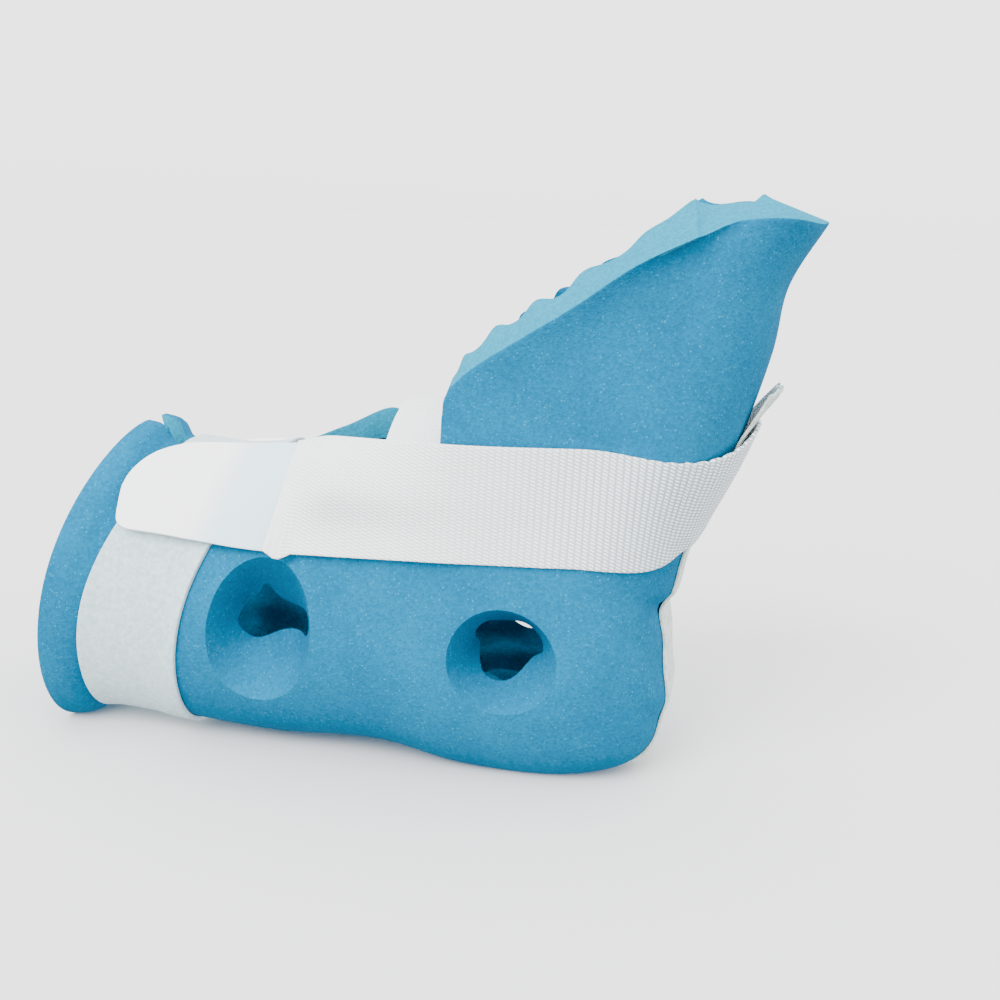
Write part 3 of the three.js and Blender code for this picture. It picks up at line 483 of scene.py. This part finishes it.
def laid_strap(name, node, rows, columns, thick, below, rounds=12, sink=0.0015, lap=0, finish=None):
    """A strap that lies on the pieces below it and spans, as the named solid does, where they fall away.

    Rows are (at, out, rise, low, high) and columns are across it. The last lap rows lie over the
    first. Returns the strap, its flat size and its flat area.
    """
    graph = bpy.context.evaluated_depsgraph_get()
    solid = BVHTree.FromObject(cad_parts[node], graph)
    carriers = [BVHTree.FromObject(piece, graph) for piece in below]
    shares = np.linspace(0, 1, columns)
    starts = np.empty((len(rows), columns, 3))
    outs = np.array([row[1] for row in rows])
    spans = np.full((len(rows), columns), np.nan)
    floors = np.full((len(rows), columns), -1.0)
    for i, (at, out, rise, low, high) in enumerate(rows):
        for k, share in enumerate(shares):
            start = at + CENTRING + rise * (low + (high - low) * share)
            starts[i, k] = start
            kept = min(max(share, RAY_MARGIN), 1 - RAY_MARGIN)
            within = at + CENTRING + rise * (low + (high - low) * kept)
            hit = solid.ray_cast(within + out * RAY_START, -out, 2 * RAY_START)[3]
            if hit is not None:
                spans[i, k] = RAY_START - hit
            for carrier in carriers:
                hit = carrier.ray_cast(start + out * RAY_START, -out, 2 * RAY_START)[3]
                if hit is not None:
                    floors[i, k] = max(floors[i, k], RAY_START - hit + thick + STRAP_TOUCH)
    for i in range(len(rows)):
        known = ~np.isnan(spans[i])
        if known.any():
            spans[i] = np.interp(shares, shares[known], spans[i][known])
    whole = ~np.isnan(spans[:, 0])
    places = np.arange(len(rows))
    for k in range(columns):
        spans[:, k] = np.interp(places, places[whole], spans[whole, k])
    spans = blurred(spans, rounds) - sink
    if lap:
        spans[:lap] -= thick + STRAP_TOUCH
        floors[-lap:] += thick + STRAP_TOUCH
    depths = np.maximum(spans, floors)
    for _ in range(SETTLING_ROUNDS):
        depths = np.maximum(blurred(depths, 1), np.maximum(spans, floors))
    depths = np.maximum(blurred(depths, 3), floors - SETTLING_BITE)
    points = starts + outs[:, None, :] * depths[:, :, None]
    if finish is not None:
        points = finish(points, outs)
    mesh = bent_grid(points)
    steps_along = np.linalg.norm(np.diff(points, axis=0), axis=2).mean(1)
    reach = np.concatenate([[0], np.cumsum(steps_along)])
    steps_across = np.linalg.norm(np.diff(points, axis=1), axis=2).mean(0)
    across = np.concatenate([[0], np.cumsum(steps_across)])
    strap_rows, strap_columns = mesh.verts.layers.int["row"], mesh.verts.layers.int["column"]
    uv_layer = mesh.loops.layers.uv.new("tape")
    for face in mesh.faces:
        for loop in face.loops:
            loop[uv_layer].uv = (reach[loop.vert[strap_rows]], across[loop.vert[strap_columns]])
    mesh.faces.ensure_lookup_table()
    middle = mesh.faces[len(mesh.faces) // 2]
    middle.normal_update()
    if middle.normal.dot(Vector(outs[middle.verts[0][strap_rows]])) < 0:
        bmesh.ops.reverse_faces(mesh, faces=mesh.faces[:])
    area = sum(face.calc_area() for face in mesh.faces)
    strap = finished(name, mesh, [
        ("SOLIDIFY", {"thickness": thick, "offset": -1.0, "use_even_offset": False}),
        ("BEVEL", {"width": min(STRAP_ROUNDING, thick / 4), "segments": 2, "limit_method": "ANGLE"}),
    ])
    return strap, (float(across[-1]), float(reach[-1])), area


lap_degrees = math.degrees(CALF_STRAP_LAP / BOOT_HALF_WIDTH)
calf_end = CALF_STRAP_START - 360 - lap_degrees
calf_strap, calf_size, _ = laid_strap(
    "calf_strap_soft", "calf_strap",
    [calf_row(d) for d in spread(CALF_STRAP_START, calf_end, CALF_STRAP_STEP)],
    columns=26, thick=LOOP_TAPE, below=[foam_boot], lap=round(lap_degrees / CALF_STRAP_STEP))

# Brushed nylon loop: a dense matt pile with a mottled nap, which scatters light evenly.
brushed_loop = new_material("brushed_nylon_loop")
loop_place = add_node(brushed_loop, "ShaderNodeTexCoord").outputs["Object"]
nap = add_node(brushed_loop, "ShaderNodeTexNoise", {
    "Scale": 1 / LOOP_NAP,
    "Detail": 4.0,
    "Roughness": 0.7,
}, Vector=loop_place)
pile = add_node(brushed_loop, "ShaderNodeTexNoise", {
    "Scale": 1 / LOOP_PILE,
    "Detail": 3.0,
    "Roughness": 0.8,
}, Vector=loop_place)
nap_colour = ramp(brushed_loop, nap.outputs["Fac"], [(0.32, LOOP_SHADE), (0.62, LOOP_GREY)])
pile_bump = add_node(brushed_loop, "ShaderNodeBump", {"Strength": 0.6, "Distance": 0.0006},
                     Height=pile.outputs["Fac"])
loop_shader = add_node(brushed_loop, "ShaderNodeBsdfPrincipled", {
    "Roughness": 1.0,
    "Specular IOR Level": 0.2,
    "Sheen Weight": 0.35,
    "Sheen Roughness": 0.6,
}, Normal=pile_bump.outputs["Normal"], Base_Color=nap_colour)
add_node(brushed_loop, "ShaderNodeOutputMaterial", Surface=loop_shader.outputs["BSDF"])
calf_strap.data.materials.append(brushed_loop)
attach(calf_strap, "root")
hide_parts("calf_strap")

# Hook tabs: moulded hook tape with a rounded end, pressed onto the calf strap and sewn under the
# webbing. Where it spans past the strap it is bluish grey: the thin tape lets the foam show through, and
# painted shade stands in for its shadow there.
SLING_WIDTH = 0.050
HOOK_TAPE = 0.0018
TAB_SEAM = 0.012
SEAM_X = -0.150 * BOOT_LENGTH
TAB_TIP = -0.386 * BOOT_LENGTH
HOOK_WHITE = "F8FBFA"
# Where the tape spans past the strap: the foam showing through, with painted shade.
HOOK_OVER_FOAM_SHADED = "CFE8F1"
HOOK_BAND = (-0.1230, -0.1090)  # from all on the strap to all over the foam, along the boot
HOOK_BAND_SLANT = -0.30
HOOK_WEAVE = 0.0009
# x, aside, z, lean in degrees, and how much lower and less leaned the far side is
SLING_SIDE = np.array([
    [-0.418, 0.76, 0.446, 44, 0.070, 12],
    [-0.315, 0.76, 0.462, 40, 0.070, 12],
    [-0.148, 0.86, 0.483, 28, 0.058, 8],
    [0.000, 0.92, 0.498, 10, 0.026, 3],
    [0.136, 0.94, 0.508, 0, 0.005, 0],
    [0.230, 0.94, 0.514, -3, 0.0, 0],
])
SLING_TURN_X = 0.230 * BOOT_LENGTH
TAB_SHOULDER = 0.3  # how much of the tab's end has the finer rows, share of its width
TAB_END = np.array([  # back from the tip, low and high edge, as shares of the tab's width
    [0.00, -0.17, 0.06], [0.03, -0.27, 0.18], [0.12, -0.335, 0.31], [0.26, -0.36, 0.41],
    [0.48, -0.385, 0.48], [0.70, -0.41, 0.50], [1.20, -0.46, 0.50], [1.80, -0.49, 0.50],
])


def upright_row(x, aside, z, heading, lean, low=-0.5, high=0.5):
    h, l = math.radians(heading), math.radians(lean)
    at = Vector((x + aside * math.sin(h), -aside * math.cos(h), z))
    out = Vector((math.sin(h) * math.cos(l), -math.cos(h) * math.cos(l), math.sin(l)))
    rise = Vector((-math.sin(h) * math.sin(l), math.cos(h) * math.sin(l), math.cos(l)))
    return at, out, rise, low * SLING_WIDTH, high * SLING_WIDTH


def sling_row(x, heading, low=-0.5, high=0.5):
    ts = np.linspace(0, 1, 401)
    line = np.array([along_rows(SLING_SIDE, t) for t in ts])
    t = float(np.interp(x / BOOT_LENGTH, line[:, 0], ts))
    _, aside, z, lean, drop, ease = along_rows(SLING_SIDE, t)
    far = heading / 180
    return upright_row(
        x, aside * BOOT_HALF_WIDTH, (z - drop * far) * BOOT_HEIGHT, heading, lean - ease * far, low, high)


def tab_rows(heading):
    outline = np.array([along_rows(TAB_END, t) for t in np.linspace(0, 1, 201)])
    shoulder = TAB_TIP + TAB_SHOULDER * SLING_WIDTH
    rounded = spread(TAB_TIP, shoulder, STRAP_GRAIN / 2)
    rows = []
    for x in [*rounded, *spread(shoulder, SEAM_X + TAB_SEAM, STRAP_GRAIN)[1:]]:
        back = (x - TAB_TIP) / SLING_WIDTH
        low, high = [float(np.interp(back, outline[:, 0], outline[:, c])) for c in (1, 2)]
        rows.append(sling_row(x, heading, low, high))
    return rows


# Nylon hook tape seen from its smooth woven back: a slight gloss and a faint fine weave.
hook_back = new_material("nylon_hook_tape")
hook_place = add_node(hook_back, "ShaderNodeTexCoord")
hook_split = add_node(hook_back, "ShaderNodeSeparateXYZ", Vector=hook_place.outputs["Object"])
hook_slant = add_node(hook_back, "ShaderNodeMath", {"operation": "MULTIPLY", 1: HOOK_BAND_SLANT},
                      _0=hook_split.outputs["Z"])
hook_along = add_node(hook_back, "ShaderNodeMath", {"operation": "ADD"},
                      _0=hook_split.outputs["X"], _1=hook_slant.outputs[0])
hook_share = add_node(hook_back, "ShaderNodeMapRange", {
    "From Min": HOOK_BAND[0],
    "From Max": HOOK_BAND[1],
}, Value=hook_along.outputs[0])
# Bluish grey past the strap's edge: foam showing through the tape, and painted shade.
hook_colour = ramp(hook_back, hook_share.outputs["Result"], [(0.0, HOOK_WHITE), (1.0, HOOK_OVER_FOAM_SHADED)])
hook_weave = add_node(hook_back, "ShaderNodeMapping", {
    "Scale": (1 / HOOK_WEAVE, 1 / HOOK_WEAVE, 1.0),
}, Vector=hook_place.outputs["UV"])
hook_threads = add_node(hook_back, "ShaderNodeTexWave", {
    "Scale": 1.0,
    "bands_direction": "X",
    "Distortion": 0.4,
}, Vector=hook_weave.outputs["Vector"])
hook_bump = add_node(hook_back, "ShaderNodeBump", {"Strength": 0.15, "Distance": 0.0002},
                     Height=hook_threads.outputs["Fac"])
hook_shader = add_node(hook_back, "ShaderNodeBsdfPrincipled", {
    "Roughness": 0.5,
    "Specular IOR Level": 0.4,
    "Sheen Weight": 0.1,
}, Normal=hook_bump.outputs["Normal"], Base_Color=hook_colour)
add_node(hook_back, "ShaderNodeOutputMaterial", Surface=hook_shader.outputs["BSDF"])
hook_tabs = []
for side, heading in (("near", 0), ("far", 180)):
    tab, tab_size, tab_area = laid_strap(
        f"hook_tab_{side}_soft", f"hook_tab_{side}", tab_rows(heading),
        columns=28, thick=HOOK_TAPE, below=[foam_boot, calf_strap])
    tab.data.materials.append(hook_back)
    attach(tab, "root")
    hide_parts(f"hook_tab_{side}")
    hook_tabs.append(tab)

# Instep strap: narrow polypropylene webbing that arches over the boot's deepest notch. Both its
# ends are held under the sling, and its edge towards the toes is worn.
INSTEP_WIDTH = 0.0245
INSTEP_TAPE = 0.0016
INSTEP_CENTRE = Vector((0.0045 * BOOT_LENGTH, 0, 0.458 * BOOT_HEIGHT))
INSTEP_ENDS = (-12, 192)  # degrees
INSTEP_STEP = 1.6  # degrees between rows
INSTEP_WEAR = 0.0005  # how far its worn edge wanders
WEAR_WAVES = [(1.0, 1.3), (0.7, 0.47), (0.6, 2.9)]  # size and rate, from row to row, of its waves
WEBBING_WHITE = "FCFDFD"
# Painted shade in the grooves of the weave: faint along the sides, deeper round the sole.
WEBBING_FAINT_GROOVE_SHADE = "EAEFF1"
WEBBING_DEEP_GROOVE_SHADE = "8DA3AD"
RIB_PITCH = 0.0029
STITCH_PITCH = 0.0015
STITCH_SLANT = 0.8  # how many stitches up the next rib's are
WEBBING_FUZZ = 1 / 900  # 1.1 mm, the size of its loose fibres' tufts
GROOVE_SHADE_DEEPEST = 0.115  # how far towards the toes the painted shade in the grooves is at its deepest


def instep_row(degrees):
    a = math.radians(degrees)
    out = Vector((0, math.cos(a), math.sin(a)))
    return INSTEP_CENTRE, out, Vector((1, 0, 0)), -INSTEP_WIDTH / 2, INSTEP_WIDTH / 2


def waver(places, waves):
    """Waves of (size, rate) laid over each other, each a little out of step with the last."""
    return sum(size * np.sin(places * rate + late) for late, (size, rate) in enumerate(waves))


def worn(points, outs):
    """The strap's points with the edge towards the toes a little uneven."""
    points[:, -1, 0] += INSTEP_WEAR * waver(np.arange(len(points)), WEAR_WAVES)
    return points


instep_strap, instep_size, instep_area = laid_strap(
    "instep_strap_soft", "instep_strap", [instep_row(d) for d in spread(*INSTEP_ENDS, INSTEP_STEP)],
    columns=18, thick=INSTEP_TAPE, below=[foam_boot], finish=worn)

# Polypropylene webbing, woven flat: soft white ribs across the tape, each a line of short slanting
# stitches. The grooves between them are darkened with painted shade, greyer where the tape bends round
# the sole.
webbing = new_material("polypropylene_webbing")
tape_place = add_node(webbing, "ShaderNodeTexCoord")
tape_split = add_node(webbing, "ShaderNodeSeparateXYZ", Vector=tape_place.outputs["UV"])
rib_count = add_node(webbing, "ShaderNodeMath", {"operation": "DIVIDE", 1: RIB_PITCH},
                     _0=tape_split.outputs["X"])
rib_part = add_node(webbing, "ShaderNodeMath", {"operation": "PINGPONG", 1: 0.5},
                    _0=rib_count.outputs[0])
rib_round = add_node(webbing, "ShaderNodeMapRange", {
    "interpolation_type": "SMOOTHSTEP",
    "From Max": 0.38,
}, Value=rib_part.outputs[0])
stitch_rise = add_node(webbing, "ShaderNodeMath", {"operation": "DIVIDE", 1: STITCH_PITCH},
                       _0=tape_split.outputs["Y"])
stitch_slant = add_node(webbing, "ShaderNodeMath", {"operation": "MULTIPLY_ADD", 1: STITCH_SLANT},
                        _0=rib_count.outputs[0], _2=stitch_rise.outputs[0])
stitch_part = add_node(webbing, "ShaderNodeMath", {"operation": "PINGPONG", 1: 0.5},
                       _0=stitch_slant.outputs[0])
stitch_round = add_node(webbing, "ShaderNodeMapRange", {
    "interpolation_type": "SMOOTHSTEP",
    "From Max": 0.45,
}, Value=stitch_part.outputs[0])
fuzz = add_node(webbing, "ShaderNodeTexNoise", {"Scale": 1 / WEBBING_FUZZ, "Detail": 2.0},
                Vector=tape_place.outputs["Object"])
weave = add_node(webbing, "ShaderNodeMath", {"operation": "MULTIPLY"},
                 _0=rib_round.outputs["Result"], _1=stitch_round.outputs["Result"])
weave_height = add_node(webbing, "ShaderNodeMath", {"operation": "MULTIPLY_ADD", 1: 0.25},
                        _0=fuzz.outputs["Fac"], _2=weave.outputs[0])
where = add_node(webbing, "ShaderNodeSeparateXYZ", Vector=tape_place.outputs["Object"])
groove_shade_share = add_node(webbing, "ShaderNodeMapRange", {"From Min": 0.0, "From Max": GROOVE_SHADE_DEEPEST},
                  Value=where.outputs["X"])
# Painted shade in the grooves, deepening towards the toes where the tape turns round the sole.
faint_shade_tone = ramp(webbing, weave_height.outputs[0], [(0.1, WEBBING_FAINT_GROOVE_SHADE), (0.7, WEBBING_WHITE)])
deep_shade_tone = ramp(webbing, weave_height.outputs[0], [(0.1, WEBBING_DEEP_GROOVE_SHADE), (0.8, WEBBING_WHITE)])
webbing_colour = add_node(webbing, "ShaderNodeMix", {"data_type": "RGBA"},
                          _0=groove_shade_share.outputs["Result"], _6=faint_shade_tone, _7=deep_shade_tone)
webbing_bump = add_node(webbing, "ShaderNodeBump", {"Strength": 0.6, "Distance": 0.0005},
                        Height=weave_height.outputs[0])
webbing_shader = add_node(webbing, "ShaderNodeBsdfPrincipled", {
    "Roughness": 0.6,
    "Specular IOR Level": 0.35,
    "Sheen Weight": 0.2,
    "Sheen Roughness": 0.4,
}, Normal=webbing_bump.outputs["Normal"], Base_Color=webbing_colour.outputs[2])
add_node(webbing, "ShaderNodeOutputMaterial", Surface=webbing_shader.outputs["BSDF"])
instep_strap.data.materials.append(webbing)
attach(instep_strap, "root")
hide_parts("instep_strap")

# Heel strip: thin brushed cotton tape, cut to length and glued up the back of the heel and the
# sole. Its upper end is free above the sling and a little frayed.
STRIP_WIDTH = 0.044
STRIP_TAPE = 0.0012
STRIP_LINE = np.array([  # x, z and lean in degrees, from under the heel to the free end
    [0.270, 0.150, -64], [0.270, 0.150, 0], [0.270, 0.300, 0],
    [0.290, 0.440, -18], [0.330, 0.660, -21], [0.352, 0.800, -21],
])
STRIP_REACH = 0.945  # how much of that line the whole tape covers, its threads running on past it
STRIP_FRAY = 0.003  # how far the threads of its free end run out
FRAY_ROWS = 16
FRAY_WAVES = [(0.5, 1.9), (0.35, 3.7), (0.3, 0.45)]
STRIP_TWIST = 0.003  # how much further the far corner of that end stands off
THREAD_CURL = 0.0008
STRIP_GREY = "CFDBD5"
STRIP_SHADE = "98AAA3"
STRIP_WEAVE = 0.0012
STRIP_LINT = 1 / 300  # 3.3 mm


def strip_row(share):
    last = len(STRIP_LINE) - 1
    x, z, lean = [
        float(np.interp(share * last, range(last + 1), STRIP_LINE[:, c])) for c in range(3)]
    l = math.radians(lean)
    at = Vector((x * BOOT_LENGTH, 0, z * BOOT_HEIGHT))
    out = Vector((math.cos(l), 0, math.sin(l)))
    return at, out, Vector((0, -1, 0)), -STRIP_WIDTH / 2, STRIP_WIDTH / 2


def frayed(points, outs):
    """The strip's points with a ragged free end, its far corner curled out."""
    columns = np.arange(points.shape[1])
    ragged = waver(columns, FRAY_WAVES)
    far = 1 - columns / columns[-1]
    curl = STRIP_TWIST * far + THREAD_CURL * np.sin(columns * 1.1)
    onward = points[-1] - points[-1 - FRAY_ROWS]
    onward /= np.linalg.norm(onward, axis=1)[:, None]
    for step in range(FRAY_ROWS + 1):
        share = (step / FRAY_ROWS) ** 2
        i = len(points) - 1 - FRAY_ROWS + step
        points[i] += onward * (STRIP_FRAY * share * ragged)[:, None]
        points[i] += outs[i] * (share * curl)[:, None]
    return points


heel_strip, strip_size, strip_area = laid_strap(
    "heel_strip_soft", "heel_strip", [strip_row(s) for s in np.linspace(0, STRIP_REACH, 131)],
    columns=40, thick=STRIP_TAPE, below=[foam_boot], finish=frayed)

# Brushed cotton tape: a soft greenish grey, with a fine cross weave and a little lint.
cotton = new_material("brushed_cotton_tape")
cotton_place = add_node(cotton, "ShaderNodeTexCoord")
cotton_scale = add_node(cotton, "ShaderNodeMapping", {
    "Scale": (1 / STRIP_WEAVE, 1 / STRIP_WEAVE, 1.0),
}, Vector=cotton_place.outputs["UV"])
cotton_checks = add_node(cotton, "ShaderNodeTexVoronoi", {"Scale": 1.0, "Randomness": 0.35},
                         Vector=cotton_scale.outputs["Vector"])
cotton_lint = add_node(cotton, "ShaderNodeTexNoise", {
    "Scale": 1 / STRIP_LINT,
    "Detail": 4.0,
    "Roughness": 0.7,
}, Vector=cotton_place.outputs["Object"])
cotton_tone = ramp(cotton, cotton_lint.outputs["Fac"], [(0.3, STRIP_SHADE), (0.55, STRIP_GREY)])
cotton_bump = add_node(cotton, "ShaderNodeBump", {"Strength": 0.5, "Distance": 0.0004, "invert": True},
                       Height=cotton_checks.outputs["Distance"])
cotton_shader = add_node(cotton, "ShaderNodeBsdfPrincipled", {
    "Roughness": 0.9,
    "Specular IOR Level": 0.2,
    "Sheen Weight": 0.3,
    "Sheen Roughness": 0.5,
}, Normal=cotton_bump.outputs["Normal"], Base_Color=cotton_tone)
add_node(cotton, "ShaderNodeOutputMaterial", Surface=cotton_shader.outputs["BSDF"])
heel_strip.data.materials.append(cotton)
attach(heel_strip, "root")
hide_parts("heel_strip")

# Sling strap: 50 mm woven webbing from one tab round the sole to the other, taut along the sides
# and ruffled a little at its top edge where it turns round the sole.
WEBBING = 0.0016
SLING_SINK = 0.0022  # how much tighter than its solid it is drawn
SEAM_POINT = 0.0035  # how far the folded corner of the webbing's end hangs below the tab
SEAM_CORNER = 0.0045  # half the width of that corner
SEAM_SLANT = 0.006  # how much further back the seam is at its lower end
SEAM_EASE = 0.024
EDGE_SCALLOP = 0.0008  # ruffles of the top edge where it turns round the sole
SCALLOP_PITCH = 6.0  # degrees
SOLE_STEP = 1.5  # degrees between rows
SOLE_HEIGHT = 0.556
SOLE_LEAN = -23  # degrees
CORNER_DIP = 0.014  # how far it sags at the corners of the sole
SOLE_CURL = 0.12  # how much of its width curls in at the lower edge there


def sole_row(heading):
    h = math.radians(heading)
    round_share = math.sin(h) ** 2
    _, aside, z, lean, _, _ = SLING_SIDE[-1]
    climb = (SOLE_HEIGHT - z) * round_share ** 3 - CORNER_DIP * math.sin(2 * h) ** 2
    wave = abs(math.sin(math.radians(180 * heading / SCALLOP_PITCH)))
    ruffle = EDGE_SCALLOP * wave * min(1, 2 * round_share)
    return upright_row(
        SLING_TURN_X, aside * BOOT_HALF_WIDTH, (z + climb) * BOOT_HEIGHT, heading,
        lean + (SOLE_LEAN - lean) * round_share,
        low=-0.5 + SOLE_CURL * round_share, high=0.5 + ruffle / SLING_WIDTH)


def side_row(x, heading):
    hang = SEAM_POINT * max(0, 1 - abs(x - SEAM_X - SEAM_CORNER) / SEAM_CORNER) / SLING_WIDTH
    at, out, rise, low, high = sling_row(x, heading, low=-0.5 - hang)
    slant = Vector((SEAM_SLANT * max(0, 1 - (x - SEAM_X) / SEAM_EASE) / (high - low), 0, 0))
    return at - slant * high, out, rise + slant, low, high


side_xs = spread(SEAM_X, SLING_TURN_X, STRAP_GRAIN)[:-1]
sling_rows = [side_row(x, 0) for x in side_xs]
sling_rows += [sole_row(h) for h in spread(0, 180, SOLE_STEP)]
sling_rows += [side_row(x, 180) for x in side_xs[::-1]]
sling_strap, sling_size, sling_area = laid_strap(
    "sling_strap_soft", "sling_strap", sling_rows, columns=34, thick=WEBBING,
    below=[foam_boot, *hook_tabs, instep_strap, heel_strip], sink=SLING_SINK)
sling_strap.data.materials.append(webbing)
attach(sling_strap, "root")
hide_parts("sling_strap")

# Studio: a pale sheet of paper under the boot, even white light from above, weaker light from below
# as in an open studio, and a broad soft key from up on the near left as the photograph's flash.
SKY_WHITE = "FFFFFF"
GROUND_GREY = "7C858A"
SKY_STRENGTH = 3.1
PAPER_WHITE = "E2E2E2"
KEY_STRENGTH = 4.2
KEY_SPREAD = math.radians(35)
KEY_WAY = Vector((0.35, 0.85, -0.75))

floor_mesh = bmesh.new()
bmesh.ops.create_grid(floor_mesh, x_segments=1, y_segments=1, size=8.0)
floor = finished("floor", floor_mesh)
floor.visible_diffuse = False  # GROUND_GREY gives the light that comes back up from it
paper = new_material("studio_paper")
paper_shader = add_node(paper, "ShaderNodeBsdfPrincipled", {
    "Base Color": linear(PAPER_WHITE),
    "Roughness": 1.0,
})
add_node(paper, "ShaderNodeOutputMaterial", Surface=paper_shader.outputs["BSDF"])
floor.data.materials.append(paper)
key_data = bpy.data.lights.new("key_lamp", "SUN")
key_data.energy = KEY_STRENGTH
key_data.angle = KEY_SPREAD
key_lamp = bpy.data.objects.new("key_lamp", key_data)
bpy.context.scene.collection.objects.link(key_lamp)
key_lamp.rotation_mode = "QUATERNION"
key_lamp.rotation_quaternion = KEY_WAY.to_track_quat("-Z", "Y")
world = bpy.data.worlds.new("studio")
bpy.context.scene.world = world
world.use_nodes = True
sky_place = add_node(world, "ShaderNodeTexCoord")
sky_split = add_node(world, "ShaderNodeSeparateXYZ", Vector=sky_place.outputs["Generated"])
sky_share = add_node(world, "ShaderNodeMapRange", {"From Min": -0.5, "From Max": 0.0},
                     Value=sky_split.outputs["Z"])
sky_colour = ramp(world, sky_share.outputs["Result"], [(0.0, GROUND_GREY), (1.0, SKY_WHITE)])
sky = world.node_tree.nodes["Background"]
sky.inputs["Strength"].default_value = SKY_STRENGTH
world.node_tree.links.new(sky_colour, sky.inputs["Color"])
